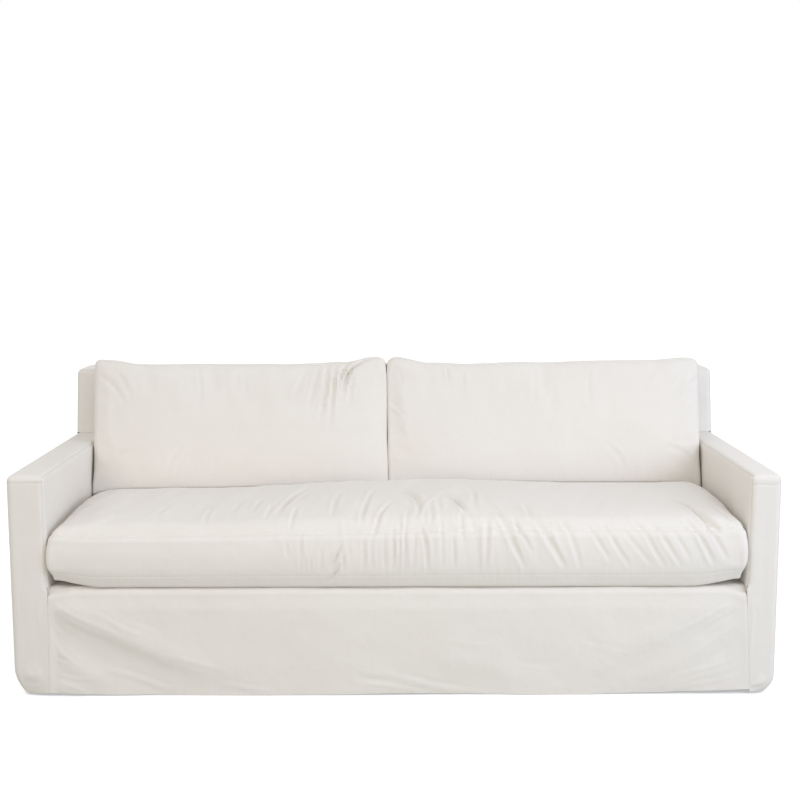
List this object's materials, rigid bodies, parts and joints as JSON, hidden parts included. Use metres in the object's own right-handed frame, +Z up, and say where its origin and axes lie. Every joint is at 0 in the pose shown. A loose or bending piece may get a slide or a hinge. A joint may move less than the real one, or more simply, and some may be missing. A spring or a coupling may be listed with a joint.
{
  "type": "sofa slipcover with its covered cushions",
  "caption": "Loose cotton slipcover for a track-arm sofa: hollow body cover with a folded front skirt, bench seat cushion and back cushions.",
  "frame": {"origin": "middle of the underside of the strip along the top of the back, where the sofa's back carries the cover", "axes": "+X to the right seen from the front, along the sofa; +Y towards the back; +Z up"},
  "size_m": [2.1413, 0.9825, 0.8919],
  "materials": {
    "cover_cotton": "washed off-white cotton twill",
    "cushion_cotton": "washed off-white cotton twill over soft filling"
  },
  "bodies": {
    "root": {"outside_arm_left": "cover_cotton", "outside_arm_right": "cover_cotton", "arm_top_left": "cover_cotton", "arm_top_right": "cover_cotton", "inside_arm_left": "cover_cotton", "inside_arm_right": "cover_cotton", "arm_front_left": "cover_cotton", "arm_front_right": "cover_cotton", "back_side_left": "cover_cotton", "back_side_right": "cover_cotton", "inside_back": "cover_cotton", "back_top": "cover_cotton", "outside_back": "cover_cotton", "deck": "cover_cotton", "front_skirt": "cover_cotton", "seat_cushion": "cushion_cotton", "back_cushion_left": "cushion_cotton", "back_cushion_right": "cushion_cotton"}
  },
  "joints": []
}
